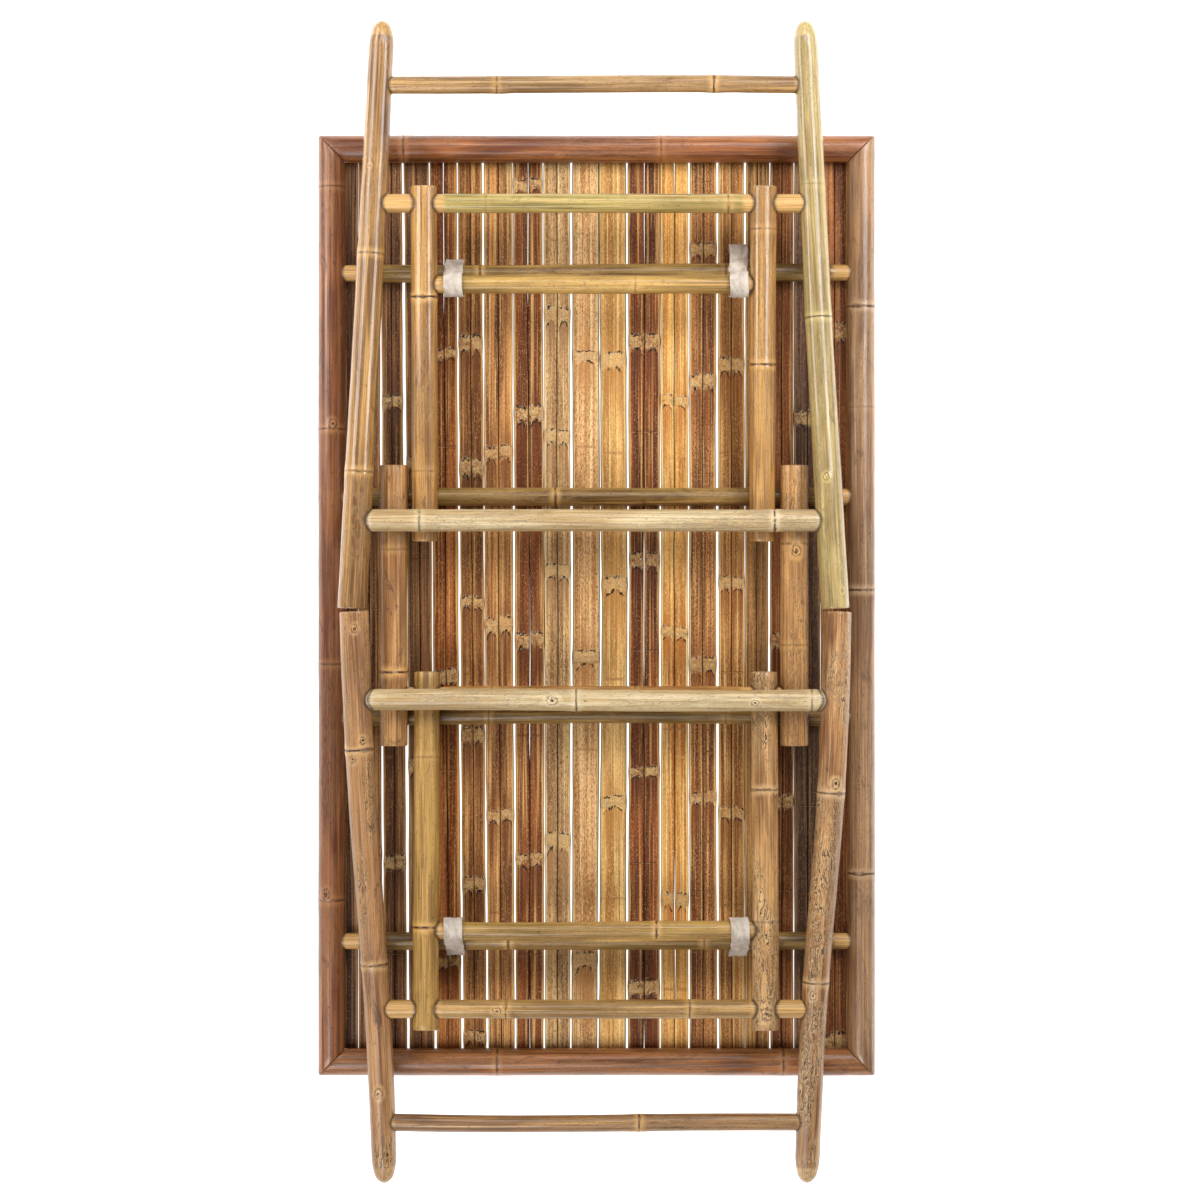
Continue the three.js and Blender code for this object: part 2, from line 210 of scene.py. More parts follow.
def slat_material(name, core, edge, dark, speckle, scar="24110a", band="cfa66a"):
    """The inner face of split bamboo: long fibres, honey edges, pale torn bands at the nodes."""
    g = Graph(name)
    grain = g.attribute("grain", vector=True)
    node_mm = g.attribute("node_mm")
    across = g.attribute("across")
    broad = g.span(g.noise(grain, (60, 60, 3.2), 3, 0.6, 0.6), 0.38, 0.62)
    color = g.mix(broad, srgb(dark), srgb(core))
    strand = g.noise(grain, (300, 300, 2.4), 3, 0.6)
    color = g.mix(g.span(strand, 0.53, 0.62, 0.0, 0.75), color, srgb(dark))
    color = g.mix(g.span(strand, 0.45, 0.35, 0.0, 0.75), color, srgb(edge))
    fibre = g.noise(grain, (850, 850, 8), 4, 0.7)
    color = g.mix(g.span(fibre, 0.50, 0.70, 0.0, 0.6), color, srgb(dark))
    color = g.mix(g.span(fibre, 0.46, 0.32, 0.0, 0.5), color, srgb(edge))
    grit = g.noise(grain, (950, 950, 330), 2, 0.6)
    color = g.mix(g.span(grit, 0.53, 0.63, 0.0, speckle), color, srgb(scar))
    color = g.mix(g.span(grit, 0.42, 0.32, 0.0, 0.5), color, srgb(edge))
    # The strip's own edges are the yellow outer wood.
    wander = g.math("MULTIPLY", g.noise(grain, (120, 120, 12), 3, 0.6), 5.0)
    side = g.math("ADD", g.attribute("rim_mm"), g.math("SUBTRACT", wander, 2.5))
    edge_tone = g.mix(g.span(fibre, 0.48, 0.68, 0.0, 0.6), srgb(edge), srgb(core))
    color = g.mix(g.span(side, 1.4, 3.0, 0.9, 0.0), color, edge_tone)
    # Below a node the dark pith ends in two round tongues; above, it fades out more gently.
    tear = g.math("MULTIPLY", g.math("SUBTRACT", g.noise(grain, (230, 230, 150), 3, 0.65), 0.5), 13.0)
    place = g.math("ADD", node_mm, tear)
    inside = g.span(g.math("ABSOLUTE", across), 0.60, 0.82, 1.0, 0.0)
    arch = g.math("ADD", place, g.math("MULTIPLY", g.math("MULTIPLY", across, across), 16.0))
    tongue = g.math("MULTIPLY", g.span(arch, -95.0, -12.0), g.span(arch, -9.5, -7.5, 1.0, 0.0))
    above = g.math("MULTIPLY", g.span(place, 60.0, 9.0, 0.0, 0.6), g.span(place, 6.5, 8.5))
    deep = g.math("MULTIPLY", g.math("MAXIMUM", tongue, above), inside)
    color = g.mix(g.math("MULTIPLY", deep, g.span(fibre, 0.36, 0.60, 0.45, 0.85)), color, srgb(dark))
    band_mask = g.span(g.math("ABSOLUTE", place), 6.5, 9.0, 1.0, 0.0)
    worn = g.noise(grain, (170, 170, 110), 4, 0.7, 0.8)
    band_tone = g.mix(g.span(worn, 0.43, 0.60, 0.0, 0.9), srgb(band), srgb(core))
    band_tone = g.mix(g.span(grit, 0.46, 0.62, 0.0, 0.7), band_tone, srgb(scar))
    color = g.mix(g.math("MULTIPLY", band_mask, g.span(worn, 0.66, 0.50, 0.25, 0.85)), color, band_tone)
    lip = g.math("MULTIPLY", g.span(arch, -11.5, -9.5), g.span(arch, -8.0, -6.5, 1.0, 0.0))
    crest = g.math("MULTIPLY", g.span(place, 6.0, 7.5), g.span(place, 8.5, 10.0, 1.0, 0.0))
    broken = g.span(g.noise(grain, (210, 210, 60), 2, 0.5), 0.42, 0.52)
    scars = g.math("MULTIPLY", g.math("MAXIMUM", lip, crest), g.math("MULTIPLY", inside, broken))
    color = g.mix(scars, color, srgb(scar))
    beside_band = g.span(g.math("ABSOLUTE", place), 9.0, 12.0, 1.0, 0.0)
    flake = g.math("MULTIPLY", beside_band, g.span(grit, 0.60, 0.66))
    color = g.mix(g.math("MULTIPLY", flake, 0.75), color, srgb("f3e2bf"))
    # The split between the two halves of a slat, and everything below its face, lies in shade.
    color = g.mix(g.attribute("split"), color, srgb("1a0d06"))
    rough = g.span(broad, 0.0, 1.0, 0.42, 0.58)
    height = g.math("ADD", g.math("MULTIPLY", fibre, 0.7), g.math("MULTIPLY", grit, 0.3))
    height = g.math("ADD", height, g.math("MULTIPLY", g.math("MULTIPLY", band_mask, grit), 1.6))
    return g.finish(color, rough, g.bump(height, 0.0007, 0.8), specular=0.16)


def strap_material():
    """Dull beige cloth tape with a fine weave and soiled folds."""
    g = Graph("strap_cloth")
    grain = g.attribute("grain", vector=True)
    weave = g.noise(grain, (2600, 2600, 2600), 2, 0.6)
    soil = g.noise(grain, (70, 70, 55), 4, 0.6, 0.6)
    color = g.mix(g.span(soil, 0.35, 0.7), srgb("cdc1b4"), srgb("a39483"))
    color = g.mix(g.span(weave, 0.5, 0.75, 0.0, 0.35), color, srgb("75655a"))
    creases = g.noise(grain, (240, 240, 60), 3, 0.6, 0.8)
    height = g.math("ADD", g.math("MULTIPLY", weave, 0.3), creases)
    material = g.finish(color, g.span(soil, 0.3, 0.7, 0.62, 0.82), g.bump(height, 0.0007, 0.7), specular=0.25)
    g.bsdf.inputs["Sheen Weight"].default_value = 0.25
    g.bsdf.inputs["Sheen Roughness"].default_value = 0.5
    return material


# ---------------------------------------------------------------- mesh building
def make_piece(name, points, faces, attributes, material):
    """A mesh object from arrays, with one float or vector attribute per name in attributes."""
    mesh = bpy.data.meshes.new(name)
    mesh.from_pydata([tuple(p) for p in points], [], [tuple(f) for f in faces])
    for key, values in attributes.items():
        values = np.asarray(values, np.float32)
        if values.ndim == 2:
            layer = mesh.attributes.new(key, "FLOAT_VECTOR", "POINT")
            layer.data.foreach_set("vector", values.ravel())
        else:
            layer = mesh.attributes.new(key, "FLOAT", "POINT")
            layer.data.foreach_set("value", values.ravel())
    mesh.polygons.foreach_set("use_smooth", [True] * len(mesh.polygons))
    mesh.materials.append(material)
    mesh.update()
    piece = bpy.data.objects.new(name, mesh)
    bpy.context.scene.collection.objects.link(piece)
    return piece


def wave(rng, count, length):
    """A smooth random curve of one argument in metres, between about -1 and 1."""
    parts = [(rng.uniform(0.4, 1.6) * 2 * math.pi * (k + 1) / length, rng.uniform(0, 2 * math.pi),
              rng.uniform(0.4, 1.0) / (k + 1)) for k in range(count)]
    scale = sum(p[2] for p in parts)
    return lambda s: sum(a * np.sin(w * s + f) for w, f, a in parts) / scale


def skin(rings):
    """The quads that join each closed ring of point numbers to the next ring."""
    faces = []
    for lower, upper in zip(rings, rings[1:]):
        for j in range(len(lower)):
            k = (j + 1) % len(lower)
            faces.append((lower[j], lower[k], upper[k], upper[j]))
    return faces


SIDES = 48  # points round a culm
FAR = 120.0  # what node_mm and knot hold away from any node or knot
PHASE = 6.28  # random phases lie between 0 and this, in radians
# What is added to RNG_SEED for the first piece of each kind.
RIM_SEED = 10
RAIL_SEED = 40
POLE_SEED = 70
SLAT_SEED = 300
STRAP_SEED = 500

BODY_OF = {}
for body_name, members in frame["record"]["behaviour"]["bodies"].items():
    for member in members:
        BODY_OF[member] = body_name
JOINTS = {j["name"]: j for j in frame["joints"]}


def middle(node):
    low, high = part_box(node)
    return (low + high) / 2


def install(piece, node):
    """The piece stands for its CAD node and rides on that node's body."""
    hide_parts(node)
    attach(piece, BODY_OF[node])


# ---------------------------------------------------------------- where the culms run
# Nodes are (share of the length, how strong the mark is); knots are (share, degrees off the side that
# faces up, size in mm). Rails run from -X to +X, the side rims and bearers from +Y to -Y, braces from the
# table's end inwards, legs from tip to foot.
NODES = {
    "rim_rear": [(0.137, 0.8), (0.622, 0.6)],
    "rim_front": [(0.313, 0.7), (0.852, 0.7)],
    "rim_left": [(0.042, 0.5), (0.307, 0.6), (0.564, 0.5), (0.822, 0.7)],
    "rim_right": [(0.173, 0.9), (0.283, 0.3), (0.483, 0.9), (0.793, 0.9)],
    "batten_rear_outer": [(0.284, 0.9), (0.74, 0.4)],
    "batten_rear_inner": [(0.424, 0.9), (0.80, 0.4)],
    "batten_front_inner": [(0.30, 0.4), (0.74, 0.4)],
    "batten_front_outer": [(0.336, 0.8), (0.70, 0.5)],
    "hinge_bar_rear": [(0.3, 0.4), (0.72, 0.4)],
    "hinge_bar_front": [(0.25, 0.4), (0.6, 0.4)],
    "pivot_rail_rear": [(0.26, 0.25), (0.80, 0.5)],
    "pivot_rail_front": [(0.30, 0.6), (0.71, 0.6)],
    "foot_rail_rear": [(0.03, 0.4), (0.139, 0.6), (0.875, 0.9)],
    "foot_rail_front": [(0.46, 0.7), (0.948, 0.5)],
    "top_rail_rear": [(0.278, 0.5), (0.776, 1.0)],
    "top_rail_front": [(0.60, 0.8)],
    "brace_bar_rear": [(0.10, 0.6), (0.62, 0.3)],
    "brace_bar_front": [(0.675, 0.9)],
    "bearer_left": [(0.30, 0.3), (0.737, 1.0)],
    "bearer_right": [(0.28, 0.5), (0.64, 0.3)],
    "brace_pole_rear_left": [(0.31, 1.0), (0.80, 0.3)],
    "brace_pole_rear_right": [(0.12, 0.5), (0.50, 0.9)],
    "brace_pole_front_left": [(0.285, 1.0), (0.76, 0.3)],
    "brace_pole_front_right": [(0.30, 0.3), (0.668, 0.8)],
    "leg_rear_left": [(0.397, 0.6), (0.767, 0.6)],
    "leg_rear_right": [(0.28, 0.25), (0.505, 0.7)],
    "leg_front_left": [(0.382, 0.8), (0.758, 1.0)],
    "leg_front_right": [(0.351, 0.7), (0.683, 0.9)],
}
KNOTS = {
    "rim_rear": [(0.43, 35, 3.0)],
    "rim_left": [(0.302, -10, 6.0), (0.815, 20, 6.0)],
    "pivot_rail_front": [(0.28, 5, 5.0)],
    "foot_rail_front": [(0.41, 0, 6.5), (0.83, 10, 4.5)],
    "foot_rail_rear": [(0.60, 25, 2.5)],
    "brace_bar_rear": [(0.93, 0, 5.5)],
    "bearer_right": [(0.305, -5, 7.0)],
    "brace_pole_front_right": [(0.045, 0, 8.0)],
    "leg_rear_left": [(0.25, 20, 2.5)],
    "leg_rear_right": [(0.776, 10, 4.5), (0.97, -30, 3.0)],
    "leg_front_left": [(0.16, -10, 6.0), (0.742, -25, 5.0), (0.774, 20, 5.0), (0.97, 5, 5.0)],
    "leg_front_right": [(0.33, -15, 5.0), (0.70, 12, 6.0)],
}
# How far a culm bows sideways: one plain bend and one S, both in mm.
SWAY = {
    "leg_front_left": (0.0, 2.9),
    "leg_rear_right": (1.5, 0.0),
    "leg_front_right": (1.5, -3.2),
    "batten_front_inner": (-5.0, 0.5),
    "batten_rear_outer": (0.5, 1.0),
    "top_rail_front": (1.5, 0.8),
    "top_rail_rear": (-1.5, 0.8),
    "foot_rail_front": (0.5, -1.0),
    "brace_bar_front": (1.0, 1.0),
}
LEG_TIP_R = 15.7 * MM
LEG_FOOT_R = 18.4 * MM
POLE_TRIM = 0.5 * MM  # how much thinner than its CAD solid a pole starts, to leave room for its nodes


def rim_axis(name):
    low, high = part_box(name)
    c = (low + high) / 2
    r = (high.z - low.z) / 2
    if high.x - low.x > high.y - low.y:
        return Vector((low.x + r, c.y, c.z)), Vector((high.x - r, c.y, c.z)), r, r
    return Vector((c.x, high.y - r, c.z)), Vector((c.x, low.y + r, c.z)), r, r


def rail_axis(name):
    low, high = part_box(name)
    c = (low + high) / 2
    r = (high.z - low.z) / 2
    return Vector((low.x, c.y, c.z)), Vector((high.x, c.y, c.z)), r, r


def bearer_axis(name):
    low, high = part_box(name)
    c = (low + high) / 2
    r = (high.x - low.x) / 2 - POLE_TRIM
    return Vector((c.x, high.y, c.z)), Vector((c.x, low.y, c.z)), r, r


def brace_axis(name):
    side = "rear" if "rear" in name else "front"
    hinge = Vector(JOINTS[side + "_brace_hinge"]["pos_m"])
    pivot = Vector(JOINTS[side + "_leg_hinge"]["pos_m"])
    low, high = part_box(name)
    way = Vector((0, pivot.y - hinge.y, pivot.z - hinge.z)).normalized()
    r = (high.x - low.x) / 2 - POLE_TRIM
    slip = abs(way.z) * r
    ends = [high.y - slip, low.y + slip] if side == "rear" else [low.y + slip, high.y - slip]
    base = Vector(((low.x + high.x) / 2, hinge.y, hinge.z))
    outer, inner = [base + way * ((y - hinge.y) / way.y) for y in ends]
    return outer, inner, r, r


def leg_axis(name):
    low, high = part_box(name)
    z = (low.z + high.z) / 2
    tip_y, foot_y = (high.y, low.y) if "rear" in name else (low.y, high.y)
    if name.endswith("left"):
        tip_x, foot_x = high.x - LEG_TIP_R, low.x + LEG_FOOT_R
    else:
        tip_x, foot_x = low.x + LEG_TIP_R, high.x - LEG_FOOT_R
    return Vector((tip_x, tip_y, z)), Vector((foot_x, foot_y, z)), LEG_TIP_R, LEG_FOOT_R


AXIS_RULES = {"rim": rim_axis, "bearer": bearer_axis, "brace_pole": brace_axis, "leg": leg_axis}


def axis_of(name):
    for start, rule in AXIS_RULES.items():
        if name.startswith(start):
            return rule(name)
    return rail_axis(name)


AXES = {name: axis_of(name) for name in NODES}
TOUCH = 7 * MM  # skins this near each other, or nearer, count as a joint
JOINT_GRIME_AND_SHADE_MM = 2.8  # how far the grime and painted shade of a joint spread


def neighbours(name):
    """The culms that this one meets, each with the place along this one where it does."""
    start, end, *radii = AXES[name]
    length = (end - start).length
    found = []
    for other, (a, b, *radii_there) in AXES.items():
        meet = None if other == name else intersect_line_line(start, end, a, b)
        if meet is None:
            continue
        s = (meet[0] - start).dot(end - start) / length
        t = (meet[1] - a).dot(b - a) / (b - a).length
        near = (meet[0] - meet[1]).length < max(radii) + max(radii_there) + TOUCH
        slack = max(radii_there)
        if near and -slack < s < length + slack and -slack < t < (b - a).length + slack:
            found.append((other, s))
    return found


def joint_grime_and_shade_strength(points, others):
    """How much grime and painted shade a point gets near joints: 1 where it lies on another culm's skin,
    falling to 0 a few millimetres away.
    """
    strength = np.zeros(len(points))
    for other in others:
        a, b, ra, rb = AXES[other]
        a, b = np.array(a), np.array(b)
        share = (points - a) @ (b - a) / ((b - a) @ (b - a))
        gap = np.linalg.norm(points - a - share[:, None] * (b - a), axis=1) - (ra + (rb - ra) * share)
        beside = (share > 0) & (share < 1)
        strength = np.maximum(strength, np.where(beside, np.clip(1 - np.abs(gap / MM) / JOINT_GRIME_AND_SHADE_MM, 0, 1), 0))
    return strength ** 0.7


# ---------------------------------------------------------------- one culm
def node_swell(distance_mm, mark):
    """How far the skin stands out near a node, in mm: a swelling, the sheath scar's lip and its groove."""
    swell = 0.7 * np.exp(-((distance_mm - 1) / 11.0) ** 2)
    lip = 0.30 * np.exp(-((distance_mm + 1.6) / 1.4) ** 2)
    groove = 0.35 * np.exp(-((distance_mm - 0.6) / 1.0) ** 2)
    return (0.35 + 0.65 * mark) * swell + mark * (lip - groove)


NODE_STEPS = MM * np.array([-16, -11, -8, -6, -4, -3, -2.2, -1.4, -0.6, 0.2, 1, 1.8, 2.8, 4, 6, 9, 13])
ROUND_STEPS = MM * np.array([0, 0.4, 1.2, 2.5, 4.5, 7, 10, 14, 19, 25, 32])
FLAT_STEPS = MM * np.array([0, 0.3, 0.8, 1.6])
WHITTLE_STEPS = MM * np.array([-9, -7, -5, -3, -1.5, 0, 1.5, 3])
CHANGE_STEPS = MM * np.array([-0.03, 0.03])  # either side of the place where the nearest node changes
KNOT_REACH = 1.9  # a knot's rows reach this many knot radii
ROW_STEP = 11 * MM
SAME_ROW = 5e-5  # rows nearer than this to the one before are left out
ROUND_TAPER = 34 * MM
ROUND_CAP = 10 * MM
ROUND_BARE = 22 * MM
FLAT_BEVEL = 1.2 * MM
WHITTLE_SLOPE = 9 * MM
MITRE_REACH = 30 * MM  # the slant of a mitred end fades out over this length
# Rings inside a flat cut, down into the hollow: share of the outer radius, and depth in mm.
HOLLOW_RINGS = [(0.58, 0.0), (0.55, 2.0), (0.52, 16.0)]


def culm_rows(name, length, ends):
    """The places along a culm that get a ring of points: close together wherever something happens."""
    at = list(np.arange(0.0, length, ROW_STEP)) + [length]
    for share, _ in NODES[name]:
        at += list(share * length + NODE_STEPS)
    shares = [share for share, _ in NODES[name]]
    for a, b in zip(shares, shares[1:]):
        at += list((a + b) / 2 * length + CHANGE_STEPS)
    for share, _, size in KNOTS.get(name, []):
        at += list(share * length + size * MM * np.linspace(-KNOT_REACH, KNOT_REACH, 13))
    for other, s in neighbours(name):
        reach = max(AXES[other][2:])
        for side in (-1, 1):
            at += list(s + side * np.linspace(reach - 6 * MM, reach + 5 * MM, 9))
    for which, shape in enumerate(ends):
        edge, inward = (0.0, 1) if which == 0 else (length, -1)
        if shape == "round":
            at += list(edge + inward * ROUND_STEPS)
        elif shape == "flat":
            at += list(edge + inward * FLAT_STEPS)
        else:
            at += list(edge + inward * (shape[0] + WHITTLE_STEPS))
    s = np.array(sorted(set(np.round([v for v in at if 0 <= v <= length], 6))))
    return s[np.concatenate([[True], np.diff(s) > SAME_ROW])]


def shaped_ends(s, length, body, ends):
    """The radius with its ends worked, and where the skin is whittled away."""
    bare = np.zeros(len(s))
    for which, shape in enumerate(ends):
        inward = s if which == 0 else length - s
        if shape == "round":
            taper = np.clip(inward / ROUND_TAPER, 0, 1)
            body = body * (0.50 + 0.50 * np.sin(taper * math.pi / 2) ** 0.8)
            cap = np.clip(inward / ROUND_CAP, 0, 1)
            body = body * np.sqrt(np.clip(1 - (1 - cap) ** 2, 0.0, 1)) ** 0.9
            bare = np.maximum(bare, 0.75 * (inward < ROUND_BARE))
        elif shape == "flat":
            body = body - np.clip(FLAT_BEVEL - inward, 0, FLAT_BEVEL) * 0.9
        else:
            t = np.clip((shape[0] - inward) / WHITTLE_SLOPE, 0, 1)
            ease = t * t * (3 - 2 * t)
            body = body * (1 - ease) + shape[1] * ease
            bare = np.maximum(bare, ease)
    return body, bare


def with_nodes(name, s, length, body, rough):
    """The radius with its nodes, and for each row the nearest node's distance in mm and its strength."""
    node_mm, mark = np.full(len(s), FAR), np.zeros(len(s))
    for share, strength in NODES[name]:
        d = (s - share * length) / MM
        closer = np.abs(d) < np.abs(node_mm)
        node_mm, mark = np.where(closer, d, node_mm), np.where(closer, strength, mark)
        body = body + MM * rough * node_swell(d, strength)
    return body, node_mm, mark


def with_knots(name, s, length, body, turn, r):
    """The skin with its knots, and each point's distance from the nearest one in knot radii."""
    knot = np.full(r.shape, FAR)
    for share, lean, size in KNOTS.get(name, []):
        along = (s[:, None] - share * length) / MM
        angle = (turn[None, :] - math.pi / 2 + math.radians(lean) + math.pi) % (2 * math.pi) - math.pi
        away = np.hypot(along / 1.25, angle * body[:, None] / MM) / size
        knot = np.minimum(knot, away)
        r = r + MM * 0.16 * size * (np.exp(-(away / 0.9) ** 2) - 1.3 * np.exp(-(away / 0.35) ** 2))
    return r, knot


def sideways(name, s, length, rough, rng):
    """How far the culm's middle strays to its side, row by row."""
    plain, ess = SWAY.get(name, (0.0, 0.0))
    drift = plain * np.sin(math.pi * s / length) + ess * np.sin(2 * math.pi * s / length)
    return MM * (drift + 0.6 * rough * wave(rng, 3, 0.8)(s) * np.sin(math.pi * s / length))


def close_end(points, rows, at_far_end, hollow):
    """Add the points that close one end, and return their faces. A hollow end shows the culm's wall."""
    rings = [[(rows - 1 if at_far_end else 0) * SIDES + j for j in range(SIDES)]]
    inward = -1 if at_far_end else 1
    edge = [points[n] for n in rings[0]]
    centre = np.mean(edge, axis=0)
    for share, deep in HOLLOW_RINGS if hollow else []:
        rings.append(range(len(points), len(points) + SIDES))
        for outer in edge:
            point = centre + (outer - centre) * share
            point[2] = outer[2] + inward * deep * MM
            points.append(point)
    last, tip = rings[-1], len(points)
    points.append(np.mean([points[n] for n in last], axis=0))
    faces = skin(rings) + [(last[j], last[(j + 1) % SIDES], tip) for j in range(SIDES)]
    return faces if at_far_end else [face[::-1] for face in faces]


def culm(name, material, seed, ends=("flat", "flat"), rough=1.0, mitre=None):
    """A bamboo pole along its axis. Each end is "flat", "round", or (length, tenon radius) when whittled.

    mitre is the way that the mitred ends lean, as a unit vector across the pole."""
    rng = np.random.default_rng(RNG_SEED + seed)
    start, end, *radii = AXES[name]
    axis = (end - start).normalized()
    length = (end - start).length
    side = axis.cross(Vector((0, 0, 1))).normalized()
    up = side.cross(axis).normalized()
    s = culm_rows(name, length, ends)

    body = radii[0] + (radii[1] - radii[0]) * s / length
    body = body * (1 + 0.014 * rough * wave(rng, 4, 0.4)(s))
    body, node_mm, mark = with_nodes(name, s, length, body, rough)
    body, bare = shaped_ends(s, length, body, ends)

    turn = np.linspace(0, 2 * math.pi, SIDES, endpoint=False)
    oval = 1 + 0.014 * np.cos(2 * turn + rng.uniform(0, PHASE))
    lumps = 1 + 0.010 * rough * wave(rng, 4, 0.12)(s)[:, None] * np.cos(3 * turn + rng.uniform(0, PHASE))
    r, knot = with_knots(name, s, length, body, turn, body[:, None] * oval[None, :] * lumps)
    x = sideways(name, s, length, rough, rng)[:, None] + r * np.cos(turn)[None, :]
    y = r * np.sin(turn)[None, :]
    z = np.repeat(s[:, None], SIDES, axis=1)
    if mitre is not None:
        lean = x * side.dot(mitre) + y * up.dot(mitre)
        low, high = [np.clip(1 - inward / MITRE_REACH, 0, 1)[:, None] for inward in (s, length - s)]
        z = z - lean * low + lean * high

    rows = len(s)
    points = list(np.stack([x, y, z], axis=-1).reshape(-1, 3))
    cut = [0.0] * len(points)
    faces = skin([range(i * SIDES, (i + 1) * SIDES) for i in range(rows)])
    for at_far_end, shape in enumerate(ends):
        faces += close_end(points, rows, at_far_end, hollow=shape == "flat" and mitre is None)
        cut += [1.0 if shape == "flat" else 0.0] * (len(points) - len(cut))
    spare = len(points) - rows * SIDES

    def per_point(per_row, filler):
        """A value of each row for its points, and a filler for the points inside the ends."""
        return np.concatenate([np.repeat(per_row, SIDES), np.full(spare, filler)])

    points = np.array(points)
    world = np.array(start) + points @ np.array([side, up, axis])
    others = [other for other, _ in neighbours(name)] if mitre is None else []
    attributes = {
        "grain": points + rng.uniform(0, 40, 3),
        "node_mm": per_point(node_mm, FAR),
        "mark": per_point(mark, 0.0),
        "bare": per_point(bare, 0.0),
        "knot": np.concatenate([knot.ravel(), np.full(spare, FAR)]),
        "cut": cut,
        "joint_grime_and_shade": joint_grime_and_shade_strength(world, others),
    }
    install(make_piece(name + "_culm", world, faces, attributes, material), name)


# ---------------------------------------------------------------- the culms and their looks
SATIN = {"gloss": 0.36, "coat": 0.3}
MATTE = {"coat": 0.15, "coat_roughness": 0.3}


def make_rim():
    """The four mitred poles round the top."""
    looks = {
        "rim_rear": culm_material("rim_red", "9a5c2e", "643216", stain="431f0c", bare="bd7d45", stains=0.6,
                                  coat=0.3, coat_roughness=0.25),
        "rim_front": culm_material("rim_brown", "ae6f3c", "7a4821", stain="45260e", bare="bb8149", stains=0.6,
                                   coat=0.3, coat_roughness=0.25),
        "rim_left": culm_material("rim_plum", "965d36", "6b3c22", stain="4a2615", bare="b57f50", stains=0.7,
                                  coat=0.35, coat_roughness=0.2),
        "rim_right": culm_material("rim_grey_brown", "aa815a", "7f5b3d", stain="5c3f2a", bare="c3a078",
                                   stains=0.7, coat=0.4, coat_roughness=0.2),
    }
    for seed, (name, look) in enumerate(looks.items()):
        centre = middle(name)
        lean = Vector((0, math.copysign(1, centre.y), 0))
        if "left" in name or "right" in name:
            lean = Vector((math.copysign(1, centre.x), 0, 0))
        culm(name, look, RIM_SEED + seed, rough=0.6, mitre=lean)


def make_rails():
    """Every bar along X: its look, its slot, and how it is whittled at both ends (length, radius) in mm."""
    batten = culm_material("batten_olive", "9c7d42", "6f5324", stain="493015", stains=0.6, coat=0.1)
    hinge = culm_material("hinge_tan", "b98748", "8b5d2a", stains=0.6, coat=0.3)
    green = culm_material("rail_green", "b5a05c", "8d7a3c", stain="635020", stains=0.4, bark=0.15, **SATIN)
    brown_green = culm_material("rail_brown_green", "b08a4c", "866431", stain="5b3f1a", stains=0.5,
                                bark=0.2, **SATIN)
    bar = culm_material("bar_olive", "c09a50", "917034", stain="63481d", stains=0.5, gloss=0.34, coat=0.3)
    tan = culm_material("rail_tan", "ac8859", "86653e", stain="5e4120", stains=0.5, **SATIN)
    umber = culm_material("rail_umber", "956d46", "704e30", stain="523619", stains=0.5, **SATIN)
    straw = culm_material("rail_straw", "d4bd90", "b79867", stain="80623a", bare="e2cda4", stains=0.45,
                          streaks=0.4, bark=0.4, **SATIN)
    kinds = [
        ("batten_rear_outer", batten, "green_bamboo", 46, 10.4, 0.6),
        ("batten_rear_inner", batten, "green_bamboo", 46, 10.4, 0.6),
        ("batten_front_inner", batten, "green_bamboo", 46, 10.4, 0.6),
        ("batten_front_outer", batten, "green_bamboo", 46, 10.4, 0.6),
        ("hinge_bar_rear", hinge, "pole_bamboo", 78, 11.6, 0.6),
        ("hinge_bar_front", hinge, "pole_bamboo", 78, 11.6, 0.6),
        ("pivot_rail_rear", green, "green_bamboo", 98, 12.0, 0.8),
        ("pivot_rail_front", brown_green, "green_bamboo", 92, 12.0, 0.8),
        ("foot_rail_rear", straw, "pale_bamboo", 26, 13.0, 0.7),
        ("foot_rail_front", straw, "pale_bamboo", 26, 13.0, 0.9),
        ("top_rail_rear", tan, "green_bamboo", 24, 10.6, 1.0),
        ("top_rail_front", umber, "green_bamboo", 24, 10.6, 1.0),
        ("brace_bar_rear", bar, "green_bamboo", 34, 10.6, 0.8),
        ("brace_bar_front", bar, "green_bamboo", 34, 10.6, 0.8),
    ]
    for seed, (name, look, slot, length, radius, rough) in enumerate(kinds):
        shape = (length * MM, min(radius * MM, AXES[name][2] - 0.3 * MM))
        culm(name, look, RAIL_SEED + seed, ends=(shape, shape), rough=rough)


def make_poles():
    """The bearers, the brace poles and the legs."""
    bearer = culm_material("bearer_tan", "c8945a", "936439", stain="5c391b", stains=0.9, bark=0.7, **MATTE)
    brace = culm_material("brace_gold", "c39251", "8f6330", stain="5e3a19", stains=0.6, bark=0.5)
    olive = culm_material("brace_olive", "bd944e", "8c6933", stain="61431d", stains=0.6, bark=0.3, **MATTE)
    looks = {
        "bearer_left": bearer,
        "bearer_right": bearer,
        "brace_pole_rear_left": brace,
        "brace_pole_rear_right": brace,
        "brace_pole_front_left": olive,
        "brace_pole_front_right": culm_material("brace_crazed", "cc9a5e", "976b3c", stain="5c391c",
                                                bare="e0b985", stains=0.8, bark=1.0, **MATTE),
        "leg_rear_left": culm_material("leg_tan", "a57940", "6e4922", stain="563415", stains=0.6),
        "leg_rear_right": culm_material("leg_straw", "bda36a", "8e7545", stain="665024", bare="d9c07c",
                                        stains=0.5, bark=0.4),
        "leg_front_left": culm_material("leg_russet", "ad7e50", "855b39", stain="583820", bare="cda26c",
                                        stains=0.9, bark=1.0, **MATTE),
        "leg_front_right": culm_material("leg_crazed", "bb8752", "855a35", stain="563319", bare="dfba88",
                                         stains=0.8, bark=1.0, **MATTE),
    }
    for seed, (name, look) in enumerate(looks.items()):
        ends, rough = (("round", "flat"), 1.0) if name.startswith("leg") else (("flat", "flat"), 0.7)
        culm(name, look, POLE_SEED + seed, ends=ends, rough=rough)


